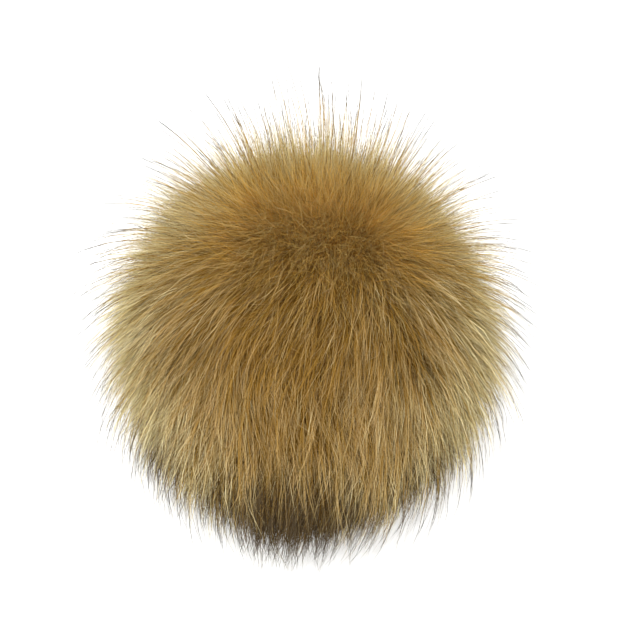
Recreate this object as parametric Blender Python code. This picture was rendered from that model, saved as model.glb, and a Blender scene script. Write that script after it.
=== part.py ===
"""Faux fur pom pom: a stuffed ball of fur backing with its pile standing in combed locks.

Run with: blender --background --python part.py
Metres, +Z up. The origin is on the surface that the pom pom rests on, under the ball's centre.
"""

import math
import random

import bmesh
import bpy
from mathutils import Quaternion, Vector

# Driving dimensions
BACKING_RADIUS = 0.027  # the stuffed ball that the pile grows from
PILE_RADIUS = 0.0515  # where the dense pile ends
CENTRE_HEIGHT = 0.044  # the soft underside is pressed a little by the pom pom's own weight
CROWN = Vector((0.15, 0.38, 0.91)).normalized()  # the pile is combed away from here
FRONT = Vector((0.0, -1.0, 0.0))
# How far the comb turns the pile between root and tip, at a right angle to the crown, in radians
COMB_SWEEP_BEHIND = 0.20
COMB_SWEEP_IN_FRONT = 0.56
COMB_CURL = 1.3  # above 1, the pile leaves the backing straighter and bends over towards its tips

# The locks. The backing is faceted by this many root points, and each facet carries one lock.
ROOT_POINTS = 152
ROOT_SCATTER = 0.045  # how far a root point strays from an even spacing, in radians
LENGTH_SCATTER = 0.0030  # how far a lock's tip strays from the pile's radius
GUARD_SHARE = 0.16  # the share of locks with long guard hair
GUARD_REACH = (0.0580, 0.0640)  # the radius that guard locks end at
ROOM_BETWEEN = 0.0005  # two locks are at least this far apart at the backing
# Each row is one section of a lock, with its width as a share of the room that the lock has.
# All locks have them at the same radii, so that neighbours bend alike.
LOCK_SECTIONS = (
    {"radius": 0.0270, "pile_width": 0.90, "guard_width": 0.90},
    {"radius": 0.0335, "pile_width": 0.88, "guard_width": 0.80},
    {"radius": 0.0395, "pile_width": 0.80, "guard_width": 0.60},
    {"radius": 0.0455, "pile_width": 0.56, "guard_width": 0.36},
)
FOOT_WIDTH = 0.44  # a lock that stands on the surface ends in a small blunt foot of this width
MIDDLE_FOOT_WIDTH = 0.80  # the lock under the centre has the widest foot
MIDDLE_FOOT_DOWN = -0.99  # how nearly that lock points straight down
SHORTEST_END = 0.0020  # a lock's last stretch, to its tip or its foot, is at least this long
FLOOR_STEPS = 24  # rounds of halving to find the radius at which a lock meets the surface
LONGEST_TO_FLOOR = 0.075  # no lock that stands on the surface is longer than this

SCATTER_SEED = 7
FUR_COLOUR = (0.36, 0.23, 0.08, 1.0)  # camel brown
FUR_ROUGHNESS = 0.75

CENTRE = Vector((0.0, 0.0, CENTRE_HEIGHT))
GOLDEN_ANGLE = math.pi * (3.0 - math.sqrt(5.0))


def clear_scene():
    for old in list(bpy.data.objects):
        bpy.data.objects.remove(old)


def fur_material():
    material = bpy.data.materials.new("camel_fur")
    material.use_nodes = True
    shader = material.node_tree.nodes["Principled BSDF"]
    shader.inputs["Base Color"].default_value = FUR_COLOUR
    shader.inputs["Roughness"].default_value = FUR_ROUGHNESS
    shader.inputs["Metallic"].default_value = 0.0
    return material


def root_directions(scatter):
    """Points spread evenly round the ball from the bottom up, each strayed a little."""
    directions = []
    for index in range(ROOT_POINTS):
        height = -1.0 + 2.0 * (index + 0.5) / ROOT_POINTS
        ring = math.sqrt(1.0 - height * height)
        turn = index * GOLDEN_ANGLE
        even = Vector((ring * math.cos(turn), ring * math.sin(turn), height))
        # The lowest three stay where they are, because the middle foot stands on them.
        stray = 0.0 if index < 3 else ROOT_SCATTER
        offset = Vector([scatter.uniform(-stray, stray) for _ in range(3)])
        directions.append((even + offset).normalized())
    return directions


def combed(tip_direction, radius):
    """Where the pile whose tip points along tip_direction lies at this radius.

    Pile nearer the backing is turned back towards the crown, by an angle that the radius sets
    alone for each direction, so pile that starts apart stays apart.
    """
    axis = CROWN.cross(tip_direction)
    frontness = 0.5 + 0.5 * axis.cross(CROWN).normalized().dot(FRONT)
    sweep = COMB_SWEEP_BEHIND + (COMB_SWEEP_IN_FRONT - COMB_SWEEP_BEHIND) * frontness
    lift = (radius - BACKING_RADIUS) / (PILE_RADIUS - BACKING_RADIUS)
    turn = sweep * axis.length * (lift**COMB_CURL - 1.0)
    return Quaternion(axis, turn) @ tip_direction * radius + CENTRE


def radius_on_floor(tip_direction):
    """The radius at which pile that comes down to the surface meets it."""
    above, below = BACKING_RADIUS, LONGEST_TO_FLOOR
    for _ in range(FLOOR_STEPS):
        radius = (above + below) / 2.0
        if combed(tip_direction, radius).z > 0.0:
            above = radius
        else:
            below = radius
    return radius


def narrowed(corners, middle, width):
    return [(middle + (corner - middle) * width).normalized() for corner in corners]


def place(face, corners, radius):
    for vertex, corner in zip(face.verts, corners, strict=True):
        vertex.co = combed(corner, radius)


def foot_on_floor(face, corners):
    for vertex, corner in zip(face.verts, corners, strict=True):
        vertex.co = combed(corner, radius_on_floor(corner))
        vertex.co.z = 0.0


def raise_lock(mesh, face, corners, scatter):
    """Grows one lock from a facet of the backing, by extruding it through the lock's sections."""
    middle = sum(corners, Vector()).normalized()
    inner_radius = 2.0 * face.calc_area() / sum(edge.calc_length() for edge in face.edges)
    widest = 1.0 - ROOM_BETWEEN / 2.0 / inner_radius
    guard_radius = scatter.uniform(*GUARD_REACH)
    guard = scatter.random() < GUARD_SHARE and combed(middle, guard_radius).z > 0.0
    tip_radius = PILE_RADIUS + scatter.uniform(-LENGTH_SCATTER, LENGTH_SCATTER)
    if guard:
        tip_radius = guard_radius
    stands = combed(middle, tip_radius).z < 0.0
    if stands:
        tip_radius = radius_on_floor(middle)

    bmesh.ops.inset_individual(mesh, faces=[face], thickness=0.0)
    for section in LOCK_SECTIONS:
        if section["radius"] > tip_radius - SHORTEST_END:
            break
        if section["radius"] > BACKING_RADIUS:
            face = bmesh.ops.extrude_discrete_faces(mesh, faces=[face])["faces"][0]
        width = section["guard_width" if guard else "pile_width"]
        place(face, narrowed(corners, middle, min(width, widest)), section["radius"])

    if stands:
        width = MIDDLE_FOOT_WIDTH if middle.z < MIDDLE_FOOT_DOWN else FOOT_WIDTH
        face = bmesh.ops.extrude_discrete_faces(mesh, faces=[face])["faces"][0]
        foot_on_floor(face, narrowed(corners, middle, width))
        return
    tip = bmesh.ops.poke(mesh, faces=[face])["verts"][0]
    tip.co = combed(middle, tip_radius)


def pom_pom():
    scatter = random.Random(SCATTER_SEED)
    mesh = bmesh.new()
    tips = {mesh.verts.new(direction): direction for direction in root_directions(scatter)}
    bmesh.ops.convex_hull(mesh, input=list(tips))
    for root, tip_direction in tips.items():
        root.co = combed(tip_direction, BACKING_RADIUS)
    for facet in list(mesh.faces):
        raise_lock(mesh, facet, [tips[root] for root in facet.verts], scatter)
    bmesh.ops.recalc_face_normals(mesh, faces=list(mesh.faces))
    data = bpy.data.meshes.new("pom_pom")
    mesh.to_mesh(data)
    mesh.free()
    data.materials.append(fur_material())
    return bpy.data.objects.new("pom_pom", data)


clear_scene()
parts = bpy.data.collections.new("fur_pom_pom")
bpy.context.scene.collection.children.link(parts)
parts.objects.link(pom_pom())
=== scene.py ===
import math

import bmesh
import bpy
import numpy as np
from mathutils import Matrix, Vector


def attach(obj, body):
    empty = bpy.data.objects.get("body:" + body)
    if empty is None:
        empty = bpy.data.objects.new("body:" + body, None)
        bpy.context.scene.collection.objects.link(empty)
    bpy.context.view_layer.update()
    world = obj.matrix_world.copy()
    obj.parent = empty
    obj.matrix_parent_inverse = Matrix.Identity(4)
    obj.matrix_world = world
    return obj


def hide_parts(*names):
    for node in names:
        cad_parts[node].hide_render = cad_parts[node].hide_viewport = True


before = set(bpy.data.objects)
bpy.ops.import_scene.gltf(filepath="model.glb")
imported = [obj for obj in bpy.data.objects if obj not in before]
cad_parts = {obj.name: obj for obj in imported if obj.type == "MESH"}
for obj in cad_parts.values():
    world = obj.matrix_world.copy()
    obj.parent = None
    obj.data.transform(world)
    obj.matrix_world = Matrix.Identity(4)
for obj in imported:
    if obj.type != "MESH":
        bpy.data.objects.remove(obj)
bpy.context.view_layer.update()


# The surface under the pom pom, the studio light and the view.
# A pale matt table in a white room, lit softly from the front and from above, and seen
# steeply from above at the ball's front. The table also glows a little, painted light that washes
# its shadow round the ball out to white.
BALL_CENTRE = Vector((0.0, 0.0, 0.044))
VIEW_ELEVATION = math.radians(60.0)
VIEW_LENS = 100.0
VIEW_SENSOR = 36.0
VIEW_NEAREST = 0.01
VIEW_WIDTH = 0.160
VIEW_RIGHT_OF_BALL = 0.0035
VIEW_ABOVE_BALL = 0.0033
WHITE = (1.0, 1.0, 1.0, 1.0)
ROOM_BRIGHTNESS = 0.92
LAMPS = (
    {"name": "front_light", "place": (-0.13, -0.46, 1.00), "power": 6.6, "size": 0.5},
    {"name": "top_light", "place": (0.05, 0.30, 1.20), "power": 2.3, "size": 0.9},
)
TABLE_HALF = 3.0
# The table's glow is painted light: it lifts its shadow round the ball to white.
TABLE_FINISH_AND_GLOW = {
    "Base Color": (0.93, 0.93, 0.92, 1.0),
    "Roughness": 0.9,
    "Specular IOR Level": 0.1,
    "Emission Color": WHITE,
    "Emission Strength": 0.32,
}

scene = bpy.context.scene
scene.view_settings.view_transform = "Standard"

view_back = Vector((0.0, -math.cos(VIEW_ELEVATION), math.sin(VIEW_ELEVATION)))
view_right = Vector((1.0, 0.0, 0.0))
view_up = view_back.cross(view_right)
view_target = BALL_CENTRE + view_right * VIEW_RIGHT_OF_BALL + view_up * VIEW_ABOVE_BALL
camera_data = bpy.data.cameras.new("view")
camera_data.lens = VIEW_LENS
camera_data.sensor_width = VIEW_SENSOR
camera_data.clip_start = VIEW_NEAREST
camera = bpy.data.objects.new("view", camera_data)
camera.matrix_world = Matrix.LocRotScale(
    view_target + view_back * (VIEW_WIDTH * VIEW_LENS / VIEW_SENSOR),
    Matrix((view_right, view_up, view_back)).transposed().to_quaternion(),
    None,
)
scene.collection.objects.link(camera)
scene.camera = camera

room = bpy.data.worlds.new("white_room")
room.use_nodes = True
room.node_tree.nodes["Background"].inputs["Color"].default_value = WHITE
room.node_tree.nodes["Background"].inputs["Strength"].default_value = ROOM_BRIGHTNESS
scene.world = room

# Each lamp is a square that faces the ball.
for lamp in LAMPS:
    lamp_data = bpy.data.lights.new(lamp["name"], "AREA")
    lamp_data.energy = lamp["power"]
    lamp_data.size = lamp["size"]
    lamp_object = bpy.data.objects.new(lamp["name"], lamp_data)
    away = Vector(lamp["place"]) - BALL_CENTRE
    lamp_object.matrix_world = Matrix.LocRotScale(
        lamp["place"], away.to_track_quat("Z", "Y"), None
    )
    scene.collection.objects.link(lamp_object)


def finish_shader(material, finish):
    """Sets what is the same all over a material on its shader, and returns the shader."""
    shader = material.node_tree.nodes["Principled BSDF"]
    for socket, value in finish.items():
        shader.inputs[socket].default_value = value
    return shader


table_material = bpy.data.materials.new("pale_table")
table_material.use_nodes = True
finish_shader(table_material, TABLE_FINISH_AND_GLOW)
table_data = bpy.data.meshes.new("table")
table_data.from_pydata(
    [(-TABLE_HALF, -TABLE_HALF, 0.0), (TABLE_HALF, -TABLE_HALF, 0.0),
     (TABLE_HALF, TABLE_HALF, 0.0), (-TABLE_HALF, TABLE_HALF, 0.0)],
    [], [(0, 1, 2, 3)],
)
table_data.materials.append(table_material)
table = bpy.data.objects.new("table", table_data)
scene.collection.objects.link(table)


# The backing: the round piece of fur gathered along its edge and drawn up over a little filling.
# A brown knitted base, puckered towards the stitch underneath. The pile hides all of it.
BACKING_RADIUS = 0.027
BACKING_SUBDIVISIONS = 4
BACKING_PUCKERS = 22
BACKING_PUCKER_DEPTH = 0.0009
BACKING_COLOUR = (0.055, 0.028, 0.010, 1.0)
BACKING_FINISH = {"Roughness": 0.9}
STITCHES = {"Scale": 420.0, "Distortion": 1.5, "Detail": 2.0}
STITCH_SHADES = (0.6, 1.3)
STITCH_RELIEF = 0.5
STITCH_DEPTH = 0.0003


def add_node(tree, kind, links=(), **settings):
    """A shader node with its settings, and with (input, output or value) pairs for its inputs."""
    node = tree.nodes.new(kind)
    for key, value in settings.items():
        setattr(node, key, value)
    for key, value in links:
        if isinstance(value, bpy.types.NodeSocket):
            tree.links.new(value, node.inputs[key])
        else:
            node.inputs[key].default_value = value
    return node


def knitted_material():
    material = bpy.data.materials.new("knitted_backing")
    material.use_nodes = True
    tree = material.node_tree
    shader = finish_shader(material, BACKING_FINISH)
    place = add_node(tree, "ShaderNodeTexCoord").outputs["Object"]
    courses, wales = [
        add_node(tree, "ShaderNodeTexWave", [("Vector", place), *STITCHES.items()],
                 bands_direction=direction)
        for direction in ("Z", "X")
    ]
    knit = add_node(tree, "ShaderNodeMath", [
        (0, courses.outputs["Fac"]), (1, wales.outputs["Fac"]),
    ], operation="MULTIPLY")
    shade = add_node(tree, "ShaderNodeMapRange", [
        ("Value", knit.outputs[0]), ("To Min", STITCH_SHADES[0]), ("To Max", STITCH_SHADES[1]),
    ])
    colour = add_node(tree, "ShaderNodeHueSaturation", [
        ("Color", BACKING_COLOUR), ("Value", shade.outputs["Result"]),
    ])
    relief = add_node(tree, "ShaderNodeBump", [
        ("Height", knit.outputs[0]), ("Strength", STITCH_RELIEF), ("Distance", STITCH_DEPTH),
    ])
    tree.links.new(colour.outputs["Color"], shader.inputs["Base Color"])
    tree.links.new(relief.outputs["Normal"], shader.inputs["Normal"])
    return material


def add_piece(data, material, nodes=()):
    """Puts a mesh in the scene as a piece of the pom pom."""
    data.materials.append(material)
    piece = bpy.data.objects.new(data.name, data)
    scene.collection.objects.link(piece)
    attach(piece, "root")
    if nodes:
        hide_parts(*nodes)
    return piece


def gathered_ball():
    mesh = bmesh.new()
    bmesh.ops.create_icosphere(mesh, subdivisions=BACKING_SUBDIVISIONS, radius=1.0)
    for vertex in mesh.verts:
        way = vertex.co.normalized()
        towards_stitch = max(0.0, -way.z) ** 2
        pucker = math.cos(BACKING_PUCKERS * math.atan2(way.y, way.x)) * towards_stitch
        vertex.co = BALL_CENTRE + way * (BACKING_RADIUS + BACKING_PUCKER_DEPTH * pucker)
    data = bpy.data.meshes.new("gathered_backing")
    mesh.to_mesh(data)
    mesh.free()
    data.polygons.foreach_set("use_smooth", np.ones(len(data.polygons), bool))
    return data


backing = add_piece(gathered_ball(), knitted_material(), ["pom_pom"])


# The underfur: short and dense hair that fills the pile's depth next to the backing.
# It is knitted into the backing with the long hair, is brown in front and golden behind, and
# is combed away from the crown like all of the pile. Its bright colours, golden behind and over
# the crown, are partly painted light that lifts the shade deep in the pile.
CENTRE = np.array(BALL_CENTRE)
CROWN = np.array((0.15, 0.38, 0.91))
CROWN /= np.linalg.norm(CROWN)
FRONT = np.array((0.0, -1.0, 0.0))
LOW_FRONT = np.array((0.0, -0.90, -0.43))
LOW_FRONT_REACH = 0.62
PARTING = np.array((1.0, 0.0, 0.0))
PARTING_HALF = 0.26
PILE_RADIUS = 0.0515
COMB_SWEEP = (0.18, 0.58)  # behind and in front, in radians
COMB_CURL = 1.3
CROWN_LEAN = 0.6
CROWN_LEAN_ANGLE = 0.5
DRIFT_WAVES = 6
LYING_HEIGHT = (0.0003, 0.0016)
LYING_SPREAD = 0.6
HAIR_TWIST = 1.2
HAIR_TAPER = 0.75
HAIR_TAPER_CURVE = 1.5
WIDTH_SCATTER = (0.7, 1.3)
# Every hair has one of these tones, and its tone is its column on the map of its colours.
# The body and soft tones run from deep to pale.
TONES = 64
BODY_TONES = (0, 30)
SOFT_TONES = (30, 50)
DARK_TIP_TONES = (50, 58)
GUARD_TONES = (58, 64)
COLUMN_SIDES = (0.12, 0.88)
COLUMN_ENDS = (0.01, 0.99)
# How a hair's colours follow one another, as shares of its length.
MIDDLE_FADE = 0.35
# Soft hairs take their middle colour sooner: lighter roots, partly painted light that lifts the
# shade deep in the pile.
SOFT_MIDDLE_SOONER = 0.3
TIP_FADE = 0.40
PALE_TIP_SOONER = 0.25
FADED_FROM = 0.65
CHARCOAL_FROM = (0.40, 0.55)  # on the pile's hairs and on guard hairs
CHARCOAL_FADE = 0.25
FADED_PALENESS = 0.55  # no share of a length: hairs paler than this fade at their ends
# How far tones stray at a spread of 1, for a hair made darker and for one made brighter.
BRIGHTNESS_STRAY = (-1.0, 1.0)
HUE_STRAY = (-0.006, 0.012)
STRENGTH_STRAY = (0.22, -0.30)
SOFT_EVENNESS = 0.8
HAIR_ROUGHNESS = (0.50, 0.80)
HAIR_FINISH = {
    "Specular IOR Level": 0.12,
    "Specular Tint": (1.0, 0.66, 0.24, 1.0),
    "Sheen Weight": 0.03,
    "Sheen Tint": (1.0, 0.72, 0.30, 1.0),
    "Sheen Roughness": 0.5,
}
UNDERFUR_HAIRS = 26000
UNDERFUR_SCATTER = 0.015
UNDERFUR_POINTS = 4
UNDERFUR_WIDTH = 0.0004
UNDERFUR_REACH = (0.0390, 0.0450)
UNDERFUR_LONGER_BEHIND = 0.0020
UNDERFUR_BEHIND_GAIN = 1.6
UNDERFUR_TONE_SCATTER = 0.15
PALEST = 0.999  # just under 1, so that a tone stays in its range
HARDLY_ANY = 1e-9  # gives a direction to what has no length
SCATTER_SEED = 21

scatter = np.random.default_rng(SCATTER_SEED)


def even_directions(count):
    """Directions spread evenly round the ball."""
    index = np.arange(count)
    height = 1.0 - 2.0 * (index + 0.5) / count
    ring = np.sqrt(1.0 - height**2)
    turn = index * math.pi * (3.0 - math.sqrt(5.0))
    return np.stack([ring * np.cos(turn), ring * np.sin(turn), height], axis=1)


def unit(vectors):
    return vectors / np.linalg.norm(vectors, axis=-1, keepdims=True)


def between(pair, share):
    return pair[0] + (pair[1] - pair[0]) * share


def combed(ways, radius):
    """Where pile whose tips point along these ways lies at these radii.

    It leans away from a short parting across the crown, most of all towards the front.
    """
    part = unit(CROWN + np.clip(ways @ PARTING, -PARTING_HALF, PARTING_HALF)[:, None] * PARTING)
    upward = np.sum(ways * part, axis=1, keepdims=True)
    away = unit(ways - upward * part + HARDLY_ANY)
    angle = np.arccos(np.clip(upward, -1.0, 1.0))
    sweep = between(COMB_SWEEP, (0.5 + 0.5 * (away @ FRONT))[:, None])
    lift = (radius - BACKING_RADIUS) / (PILE_RADIUS - BACKING_RADIUS)
    lean = np.sin(angle) * (1.0 + CROWN_LEAN * np.exp(-((angle / CROWN_LEAN_ANGLE) ** 2)))
    angle = angle + sweep * lean * (lift**COMB_CURL - 1.0)
    way = np.sin(angle)[..., None] * away[:, None] + np.cos(angle)[..., None] * part[:, None]
    return CENTRE + way * radius[..., None]


def drift(points, size, strength):
    """A slow random sway, the same for hairs that lie close together."""
    total = np.zeros_like(points)
    for _ in range(DRIFT_WAVES):
        wave = scatter.normal(size=3) / size
        push = unit(scatter.normal(size=3)) * strength / math.sqrt(DRIFT_WAVES / 2.0)
        total += np.sin(points @ wave + scatter.uniform(0.0, 2.0 * math.pi))[..., None] * push
    return total


def laid_on_table(paths):
    """Pile that would pass through the surface is pressed flat on it and spreads outwards."""
    lowest = scatter.uniform(*LYING_HEIGHT, (len(paths), 1))
    short = np.maximum(lowest - paths[..., 2], 0.0)
    away = unit(paths[..., :2] + HARDLY_ANY)
    paths[..., :2] += away * (LYING_SPREAD * short)[..., None]
    paths[..., 2] += short
    return paths


def ribbons(name, paths, width, tones, twist=HAIR_TWIST, taper=HAIR_TAPER):
    """A mesh of tapered hairs, each laid on the map in the column of its tone."""
    count, points = paths.shape[:2]
    outward = unit(paths - CENTRE)
    along = unit(np.gradient(paths, axis=1))
    across = unit(np.cross(along, outward))
    upright = np.cross(along, across)
    twist = scatter.uniform(-1.0, 1.0, (count, 1, 1)) * np.reshape(twist, (-1, 1, 1))
    flat = np.cos(twist) * across + np.sin(twist) * upright
    share = np.linspace(0.0, 1.0, points)
    half = 0.5 * width[:, None] * (1.0 - taper * share**HAIR_TAPER_CURVE)
    left = paths - flat * half[..., None]
    right = paths + flat * half[..., None]
    edges = np.stack([left, right], axis=2)[:, :-1].reshape(count, -1, 3)
    vertices = np.concatenate([edges, paths[:, -1:]], axis=1)
    per_hair = 2 * points - 1

    # One hair is a strip of four-sided faces that ends in a three-sided one.
    one = []
    for step in range(points - 2):
        one += [2 * step, 2 * step + 1, 2 * step + 3, 2 * step + 2]
    one += [2 * points - 4, 2 * points - 3, 2 * points - 2]
    corners = (np.arange(count)[:, None] * per_hair + np.array(one)).ravel()
    sizes = np.tile([4] * (points - 2) + [3], count)
    starts = np.concatenate([[0], np.cumsum(sizes)[:-1]])

    data = bpy.data.meshes.new(name)
    data.vertices.add(count * per_hair)
    data.vertices.foreach_set("co", vertices.astype(np.float32).ravel())
    data.loops.add(len(corners))
    data.loops.foreach_set("vertex_index", corners.astype(np.int32))
    data.polygons.add(len(sizes))
    data.polygons.foreach_set("loop_start", starts.astype(np.int32))
    data.polygons.foreach_set("use_smooth", np.ones(len(sizes), bool))
    column = np.concatenate([np.tile(COLUMN_SIDES, points - 1), [0.5]])
    u = (tones[:, None] + column) / TONES
    height = between(COLUMN_ENDS, np.concatenate([np.repeat(share[:-1], 2), [1.0]]))
    v = np.tile(height, (count, 1))
    on_map = np.stack([u, v], axis=2).reshape(-1, 2)[corners]
    data.uv_layers.new(name="OFBake")
    data.uv_layers["OFBake"].data.foreach_set("uv", on_map.astype(np.float32).ravel())
    data.update(calc_edges=True)
    return data


def hair_tone_group():
    """One hair's colour: from root to tip along the map's height, and a tone for each column."""
    tree = bpy.data.node_groups.new("hair_tone", "ShaderNodeTree")
    sockets = tree.interface
    for label in ("Root", "Middle", "Tip", "Pale Tip", "Faded", "Charcoal"):
        sockets.new_socket(label, in_out="INPUT", socket_type="NodeSocketColor")
    for label in ("Middle From", "Tip From", "Spread"):
        sockets.new_socket(label, in_out="INPUT", socket_type="NodeSocketFloat")
    sockets.new_socket("Colour", in_out="OUTPUT", socket_type="NodeSocketColor")
    sockets.new_socket("Roughness", in_out="OUTPUT", socket_type="NodeSocketFloat")
    given = tree.nodes.new("NodeGroupInput").outputs

    def maths(operation, first, second=0.0):
        return add_node(tree, "ShaderNodeMath", [(0, first), (1, second)],
                        operation=operation).outputs[0]

    place = add_node(tree, "ShaderNodeUVMap", uv_map="OFBake")
    split = add_node(tree, "ShaderNodeSeparateXYZ", [("Vector", place.outputs["UV"])])
    along = split.outputs["Y"]
    column = maths("FLOOR", maths("MULTIPLY", split.outputs["X"], TONES))
    chance = add_node(tree, "ShaderNodeTexWhiteNoise", [("W", column)], noise_dimensions="1D")
    chances = add_node(tree, "ShaderNodeSeparateColor", [("Color", chance.outputs["Color"])])

    def ramp(low, high, to_low=0.0, to_high=1.0, value=along):
        return add_node(tree, "ShaderNodeMapRange", [
            ("Value", value), ("From Min", low), ("From Max", high),
            ("To Min", to_low), ("To Max", to_high),
        ], interpolation_type="SMOOTHSTEP").outputs["Result"]

    def blend(share, first, second):
        mix = add_node(tree, "ShaderNodeMix", [(0, share), (6, first), (7, second)],
                       data_type="RGBA")
        return mix.outputs[2]

    def sooner(start, kind, amount):
        return maths("SUBTRACT", start, maths("MULTIPLY", kind, amount))

    def faded_in(start, length):
        return ramp(start, maths("ADD", start, length))

    def from_tone(tones):
        return maths("GREATER_THAN", column, tones[0] - 0.5)

    def up_tones(tones):
        return add_node(tree, "ShaderNodeMapRange", [
            ("Value", column), ("From Min", tones[0]), ("From Max", tones[1] - 1.0),
        ]).outputs["Result"]

    tipped, guard = from_tone(DARK_TIP_TONES), from_tone(GUARD_TONES)
    soft = maths("SUBTRACT", from_tone(SOFT_TONES), tipped)
    body = maths("SUBTRACT", 1.0, from_tone(SOFT_TONES))
    paleness = maths("ADD", maths("MULTIPLY", up_tones(BODY_TONES), body),
                     maths("MULTIPLY", up_tones(SOFT_TONES), soft))

    tip = blend(paleness, given["Tip"], given["Pale Tip"])
    # Lighter roots on soft hairs: partly painted light that lifts the shade deep in the pile.
    middle_from = sooner(given["Middle From"], soft, SOFT_MIDDLE_SOONER)
    colour = blend(faded_in(middle_from, MIDDLE_FADE), given["Root"], given["Middle"])
    tip_from = sooner(given["Tip From"], paleness, PALE_TIP_SOONER)
    colour = blend(faded_in(tip_from, TIP_FADE), colour, tip)
    palest = ramp(FADED_PALENESS, 1.0, value=paleness)
    colour = blend(maths("MULTIPLY", palest, ramp(FADED_FROM, 1.0)), colour, given["Faded"])
    dark_from = ramp(0.0, 1.0, *CHARCOAL_FROM, guard)
    dark = maths("MULTIPLY", tipped, faded_in(dark_from, CHARCOAL_FADE))
    colour = blend(dark, colour, given["Charcoal"])

    spread = maths("MULTIPLY", given["Spread"], sooner(1.0, soft, SOFT_EVENNESS))

    def strayed(middle, stray):
        ends = [maths("ADD", maths("MULTIPLY", spread, end), middle) for end in stray]
        return ramp(0.0, 1.0, *ends, chance.outputs["Value"])

    toned = add_node(tree, "ShaderNodeHueSaturation", [
        ("Hue", strayed(0.5, HUE_STRAY)), ("Saturation", strayed(1.0, STRENGTH_STRAY)),
        ("Value", strayed(1.0, BRIGHTNESS_STRAY)), ("Color", colour),
    ])
    result = add_node(tree, "NodeGroupOutput").inputs
    tree.links.new(toned.outputs["Color"], result["Colour"])
    tree.links.new(ramp(0.0, 1.0, *HAIR_ROUGHNESS, chances.outputs["Blue"]), result["Roughness"])
    return tree


hair_tone = hair_tone_group()


def hair_material(name, **values):
    material = bpy.data.materials.new(name)
    material.use_nodes = True
    tree = material.node_tree
    shader = finish_shader(material, HAIR_FINISH)
    tone = tree.nodes.new("ShaderNodeGroup")
    tone.node_tree = hair_tone
    for label, value in values.items():
        tone.inputs[label.replace("_", " ").title()].default_value = value
    tree.links.new(tone.outputs["Colour"], shader.inputs["Base Color"])
    tree.links.new(tone.outputs["Roughness"], shader.inputs["Roughness"])
    return material


def towards_front(ways):
    """1 on the ball's low front, where the pile is longest and lies flattest, and 0 opposite."""
    share = np.clip(0.5 + LOW_FRONT_REACH * (ways @ LOW_FRONT), 0.0, 1.0)
    return share * share * (3.0 - 2.0 * share)


def underfur():
    stray = scatter.normal(0.0, UNDERFUR_SCATTER, (UNDERFUR_HAIRS, 3))
    ways = unit(even_directions(UNDERFUR_HAIRS) + stray)
    behind = np.minimum(UNDERFUR_BEHIND_GAIN * (1.0 - towards_front(ways)), 1.0)
    reach = scatter.uniform(*UNDERFUR_REACH, UNDERFUR_HAIRS) + UNDERFUR_LONGER_BEHIND * behind
    share = np.linspace(0.0, 1.0, UNDERFUR_POINTS)
    radius = BACKING_RADIUS + (reach[:, None] - BACKING_RADIUS) * share
    paths = laid_on_table(combed(ways, radius))
    width = scatter.uniform(*WIDTH_SCATTER, UNDERFUR_HAIRS) * UNDERFUR_WIDTH
    paleness = behind + scatter.normal(0.0, UNDERFUR_TONE_SCATTER, UNDERFUR_HAIRS)
    tones = (np.clip(paleness, 0.0, PALEST) * SOFT_TONES[1]).astype(int)
    return ribbons("underfur", paths, width, tones)


# These colours are partly the underfur's own and partly painted light against the shade deep in
# the pile.
add_piece(underfur(), hair_material(
    "brown_underfur",
    root=(0.120, 0.047, 0.005, 1.0),
    middle=(0.355, 0.172, 0.020, 1.0),
    tip=(0.375, 0.195, 0.028, 1.0),
    pale_tip=(0.640, 0.425, 0.115, 1.0),
    faded=(0.640, 0.425, 0.115, 1.0),
    charcoal=(0.020, 0.014, 0.010, 1.0),
    middle_from=0.15,
    tip_from=0.55,
    spread=0.30,
))


# The pile: the long camel brown hair that makes the ball. Its slim locks are hairs that cling
# together towards their tips, in front far more than behind. Away from the middle of the front
# the tips are paler than the hair, partly as painted rim light round the ball's outline, and low
# in front many of them are charcoal.
LOCKS = 36000
LOCK_SCATTER = 0.010
HAIRS_IN_LOCK = 4
LOCK_SPREAD = 0.014
HAIR_POINTS = 4
HAIR_POINTS_CURVE = 0.8
HAIR_BEND_CURVE = 1.5
HAIR_ROOT_RADIUS = 0.0370
HAIR_WIDTH = 0.00015
SOFT_HAIR_WIDTH = 0.00011
PALE_HAIR_WIDTH = 0.00018
WIDER_ABOVE_PALENESS = 0.9
# These pairs are for the pile behind and for the pile in front.
SHORT_TIP_RADIUS = (0.0419, 0.0438)
LOCK_TIP_SCATTER = (0.0012, 0.0022)
HAIR_TIP_SCATTER = (0.0038, 0.0034)
CLING = (0.05, 0.62)
PILE_TWIST = (0.4, 1.2)
# These hold for all of the pile.
LOCK_TIP_DRIFT = {"size": 0.4, "strength": 0.25}
HAIR_TIP_SHORTER = 0.4
LONGEST_TIP = 0.0600
CLING_CURVE = 0.8
CLING_SCATTER = (0.55, 1.0)
# The sways that neighbouring locks share, from wide and slow ones to narrow ones.
SWAYS = (
    {"size": 0.35, "strength": 0.030},
    {"size": 0.10, "strength": 0.052},
    {"size": 0.05, "strength": 0.030},
)
LOCK_SWAY = 0.031
LOCK_SWAY_IN_FRONT = 1.2
HAIR_STRAY = 0.0006
LOW_SPLAY = 0.14
LOW_SPLAY_GAIN = 2.0
OUTWARD_SWAY_LOSS = 0.6
# Where the pile is deepest in tone, and how it grows paler away from there: partly the fur's
# own tone and partly painted rim light towards the ball's outline.
DEEP_TONE = np.array((0.02, -0.52, 0.85))
DEEP_TONE_EDGE = 0.64
PALER_AWAY = 2.4
LOW_BAND = np.array((-0.07, -0.98, 0.10))
LOW_BAND_DEEPER = 0.20
LOW_BAND_FALL = 6.0
TONE_DRIFT = {"size": 0.12, "strength": 0.10}
LOCK_TONE_SCATTER = 0.12
HAIR_TONE_SCATTER = 0.03
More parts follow.
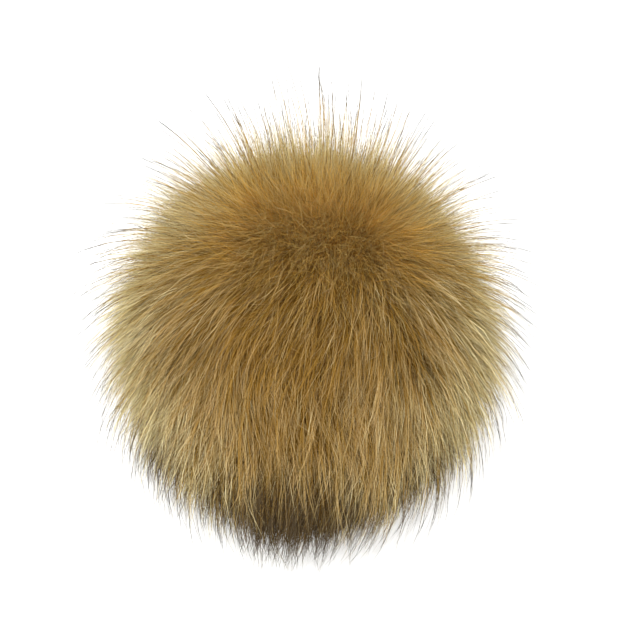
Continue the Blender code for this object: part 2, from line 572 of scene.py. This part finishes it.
# The charcoal tips: patches of the low fringe, and long hairs.
DARK_PATCHES = (
    {"way": (-0.07, -0.98, -0.20), "strength": 1.0, "reach": 0.0066},
    {"way": (0.60, -0.79, -0.12), "strength": 0.6, "reach": 0.0},
    {"way": (-0.71, -0.69, -0.20), "strength": 0.6, "reach": 0.0},
)
DARK_PATCH_FALL = 17.0
DARK_PATCH_EDGE = 0.35
DARK_LOW_FRONT = 0.65
DARK_UNDERSIDE = 0.45
DARK_FADE = 0.22
DARK_SHARE = (0.30, 1.0)  # between the patches and inside them
DARK_BEYOND = 0.0520
DARK_BEYOND_SHARE = 0.8
DARK_SOFT_BEYOND = 0.0500
DARK_SOFT_BEYOND_SHARE = 0.25


def pile():
    """Paths, widths, tones, twists and the angles from the crown of all the long hairs."""
    lock_ways = unit(even_directions(LOCKS) + scatter.normal(0.0, LOCK_SCATTER, (LOCKS, 3)))
    front = towards_front(lock_ways)
    sway = sum(drift(lock_ways, **row) for row in SWAYS)
    loose = 1.0 + LOCK_SWAY_IN_FRONT * front**2
    sway += scatter.normal(0.0, LOCK_SWAY, (LOCKS, 3)) * loose[:, None]
    low = np.clip(-LOW_SPLAY_GAIN * lock_ways[:, 2], 0.0, 1.0)
    sway[:, 0] += LOW_SPLAY * lock_ways[:, 0] * low
    outward = np.sum(sway * lock_ways, axis=1, keepdims=True) * lock_ways
    sway -= OUTWARD_SWAY_LOSS * outward

    longer = scatter.exponential(1.0, LOCKS) + drift(lock_ways, **LOCK_TIP_DRIFT)[:, 0]
    lock_tips = between(SHORT_TIP_RADIUS, front) + between(LOCK_TIP_SCATTER, front) * longer
    patches = np.zeros(LOCKS)
    for patch in DARK_PATCHES:
        nearness = np.exp(DARK_PATCH_FALL * (lock_ways @ unit(np.array(patch["way"])) - 1.0))
        lock_tips += patch["reach"] * nearness
        patches = np.maximum(patches, patch["strength"] * nearness)
    of_lock = np.repeat(np.arange(LOCKS), HAIRS_IN_LOCK)
    hairs = len(of_lock)
    hair_front, hair_patches = front[of_lock], patches[of_lock]
    share = np.linspace(0.0, 1.0, HAIR_POINTS) ** HAIR_POINTS_CURVE

    def paths_of(ways, tips, push):
        radius = HAIR_ROOT_RADIUS + (tips[:, None] - HAIR_ROOT_RADIUS) * share
        bend = push[:, None] * (share**HAIR_BEND_CURVE)[:, None] * PILE_RADIUS
        return combed(unit(ways), radius) + bend

    middle = paths_of(lock_ways, lock_tips, sway)
    ways = lock_ways[of_lock] + scatter.normal(0.0, LOCK_SPREAD, (hairs, 3))
    further = scatter.exponential(1.0, hairs) - HAIR_TIP_SHORTER
    tips = lock_tips[of_lock] + between(HAIR_TIP_SCATTER, hair_front) * further
    tips = np.minimum(tips, LONGEST_TIP)
    paths = paths_of(ways, tips, sway[of_lock])
    cling = between(CLING, hair_front)[:, None, None] * (share**CLING_CURVE)[None, :, None]
    paths += (middle[of_lock] - paths) * cling * scatter.uniform(*CLING_SCATTER, (hairs, 1, 1))
    paths += scatter.normal(0.0, HAIR_STRAY, (hairs, HAIR_POINTS, 3)) * share[None, :, None]

    lowness = np.maximum(
        lock_ways @ LOW_FRONT - DARK_LOW_FRONT, -lock_ways[:, 2] - DARK_UNDERSIDE
    )
    dark_share = np.clip(lowness / DARK_FADE, 0.0, 1.0) * between(DARK_SHARE, patches)
    chance = 0.5 * scatter.random(LOCKS)[of_lock] + 0.5 * scatter.random(hairs)

    # A tone's place in its range is its hair's paleness: deep brown where the ball faces up
    # to the light at the front, and paler towards its foot, its sides and its back. The paler
    # edge is partly the fur's own pale tips and partly painted rim light, and it also brings the
    # faded ends of the palest hairs to the outline.
    paler = PALER_AWAY * (DEEP_TONE_EDGE - lock_ways @ DEEP_TONE)
    pale = 0.5 + 0.5 * np.clip(paler, -1.0, 1.0)
    pale -= LOW_BAND_DEEPER * np.exp(LOW_BAND_FALL * (lock_ways @ unit(LOW_BAND) - 1.0))
    pale += drift(lock_ways, **TONE_DRIFT)[:, 0]
    pale += scatter.normal(0.0, LOCK_TONE_SCATTER, LOCKS)
    pale = pale[of_lock] + scatter.normal(0.0, HAIR_TONE_SCATTER, hairs)
    paleness = np.clip(pale, 0.0, PALEST)

    soft = scatter.random(hairs) > hair_front
    tones = np.where(soft, between(SOFT_TONES, paleness), between(BODY_TONES, paleness))
    dark = chance < dark_share[of_lock]
    in_patch = (tips > DARK_BEYOND) & (hair_patches > DARK_PATCH_EDGE)
    dark |= in_patch & (scatter.random(hairs) < DARK_BEYOND_SHARE)
    long_and_soft = soft & (tips > DARK_SOFT_BEYOND)
    dark |= long_and_soft & (scatter.random(hairs) < DARK_SOFT_BEYOND_SHARE)
    tones = np.where(dark, scatter.integers(*DARK_TIP_TONES, hairs), tones.astype(int))
    body_width = np.where(pale > WIDER_ABOVE_PALENESS, PALE_HAIR_WIDTH, HAIR_WIDTH)
    width = np.where(soft, SOFT_HAIR_WIDTH, body_width) * scatter.uniform(*WIDTH_SCATTER, hairs)
    twist = between(PILE_TWIST, hair_front)
    angle = np.arccos(np.clip(unit(ways) @ CROWN, -1.0, 1.0))
    return laid_on_table(paths), width, tones, twist, angle


# The dark russet root and middle are partly the hair's own colour and partly painted shade, the
# warm deep brown of the fur's depths.
pile_material = hair_material(
    "camel_pile",
    root=(0.150, 0.057, 0.006, 1.0),
    middle=(0.330, 0.171, 0.018, 1.0),
    tip=(0.280, 0.138, 0.016, 1.0),
    pale_tip=(0.740, 0.630, 0.310, 1.0),
    faded=(0.800, 0.740, 0.560, 1.0),
    charcoal=(0.074, 0.049, 0.024, 1.0),
    middle_from=0.16,
    tip_from=0.50,
    spread=0.72,
)

pile_paths, pile_width, pile_tones, pile_twist, pile_angle = pile()
band_names = ("crown_pile", "shoulder_pile", "waist_pile", "skirt_pile", "under_pile")
bands = np.array_split(np.argsort(pile_angle), len(band_names))
for band_name, band in zip(band_names, bands, strict=True):
    add_piece(
        ribbons(band_name, pile_paths[band], pile_width[band], pile_tones[band], pile_twist[band]),
        pile_material,
    )


# The crossing hair: fine golden hairs that lie across one another over the crown's parting.
# They belong to the pile, and the comb has left them leaning every way. Their bright gold,
# bright even at the root, is painted light that lifts the shade in the parting.
CROSSING_HAIRS = 16000
CROSSING_MIDDLE = np.array((0.11, 0.04, 0.97))
CROSSING_SPREAD = np.array((0.37, 0.23, 0.14))
CROSSING_REACH = (0.0446, 0.0490)
CROSSING_LEAN = 0.0034


def crossing_hair():
    away = scatter.normal(0.0, 1.0, (CROSSING_HAIRS, 3)) * CROSSING_SPREAD
    ways = unit(CROSSING_MIDDLE + away)
    share = np.linspace(0.0, 1.0, HAIR_POINTS)
    reach = scatter.uniform(*CROSSING_REACH, CROSSING_HAIRS)
    radius = HAIR_ROOT_RADIUS + (reach[:, None] - HAIR_ROOT_RADIUS) * share
    lean = scatter.normal(0.0, CROSSING_LEAN, (CROSSING_HAIRS, 1, 3))
    paths = combed(ways, radius) + lean * (share**HAIR_BEND_CURVE)[None, :, None]
    width = scatter.uniform(*WIDTH_SCATTER, CROSSING_HAIRS) * SOFT_HAIR_WIDTH
    return ribbons("crossing_pile", paths, width, scatter.integers(*SOFT_TONES, CROSSING_HAIRS))


# These bright colours are painted light that fills the parting's shade.
add_piece(crossing_hair(), hair_material(
    "crossing_pile_painted_light",
    root=(0.580, 0.210, 0.018, 1.0),
    middle=(0.700, 0.350, 0.044, 1.0),
    tip=(0.660, 0.395, 0.076, 1.0),
    pale_tip=(0.730, 0.540, 0.210, 1.0),
    faded=(0.730, 0.540, 0.210, 1.0),
    charcoal=(0.080, 0.056, 0.032, 1.0),
    middle_from=0.10,
    tip_from=0.50,
    spread=0.90,
))


# The guard hair: fine single hairs that stand out of the pile, the long and the low ones dark.
# They are knitted in with the pile and bend as they like, and few of them grow where the ball
# faces up at the front.
GUARD_HAIRS = 6500
GUARD_MOSTLY = np.array((0.0, -0.05, -0.14))
FEWER_IN_LIGHT = 1.6
GUARD_POINTS = 7
GUARD_WIDTH = 0.00013
GUARD_WIDTH_SCATTER = (0.6, 1.3)
GUARD_TAPER = 0.35
GUARD_BEND = 0.0026
GUARD_BEND_CURVE = 2.0
SHORT_GUARD_REACH = 0.0480
LONG_GUARD_REACH = (0.0616, 0.0736)  # in front and behind
LONG_BEHIND_CURVE = 3.0
REACH_CURVE = 0.55
DARK_GUARD_REACH = 0.0540
LOW_GUARD = 0.55


def guard_hair():
    ways = unit(scatter.normal(size=(GUARD_HAIRS, 3)) + GUARD_MOSTLY)
    ways = ways[scatter.random(GUARD_HAIRS) > FEWER_IN_LIGHT * (ways @ DEEP_TONE)]
    hairs = len(ways)
    share = np.linspace(0.0, 1.0, GUARD_POINTS)
    behind = (0.5 - 0.5 * (ways @ unit(LOW_FRONT))) ** LONG_BEHIND_CURVE
    longest = between(LONG_GUARD_REACH, behind)
    reach = between((SHORT_GUARD_REACH, longest), scatter.random(hairs) ** REACH_CURVE)
    radius = HAIR_ROOT_RADIUS + (reach[:, None] - HAIR_ROOT_RADIUS) * share
    bend = scatter.uniform(-GUARD_BEND, GUARD_BEND, (hairs, 3))
    bend -= np.sum(bend * ways, axis=1, keepdims=True) * ways
    paths = combed(ways, radius) + bend[:, None] * (share**GUARD_BEND_CURVE)[None, :, None]
    dark = (reach > DARK_GUARD_REACH) | (ways @ LOW_FRONT > LOW_GUARD)
    width = scatter.uniform(*GUARD_WIDTH_SCATTER, hairs)
    width *= np.where(dark, GUARD_WIDTH, SOFT_HAIR_WIDTH)
    tones = np.where(
        dark, scatter.integers(*GUARD_TONES, hairs), scatter.integers(*SOFT_TONES, hairs)
    )
    return ribbons("guard_hair", laid_on_table(paths), width, tones, taper=GUARD_TAPER)


add_piece(guard_hair(), hair_material(
    "charcoal_guard",
    root=(0.130, 0.060, 0.014, 1.0),
    middle=(0.420, 0.260, 0.070, 1.0),
    tip=(0.460, 0.310, 0.110, 1.0),
    pale_tip=(0.640, 0.510, 0.280, 1.0),
    faded=(0.640, 0.510, 0.280, 1.0),
    charcoal=(0.030, 0.025, 0.022, 1.0),
    middle_from=0.10,
    tip_from=0.50,
    spread=0.30,
))
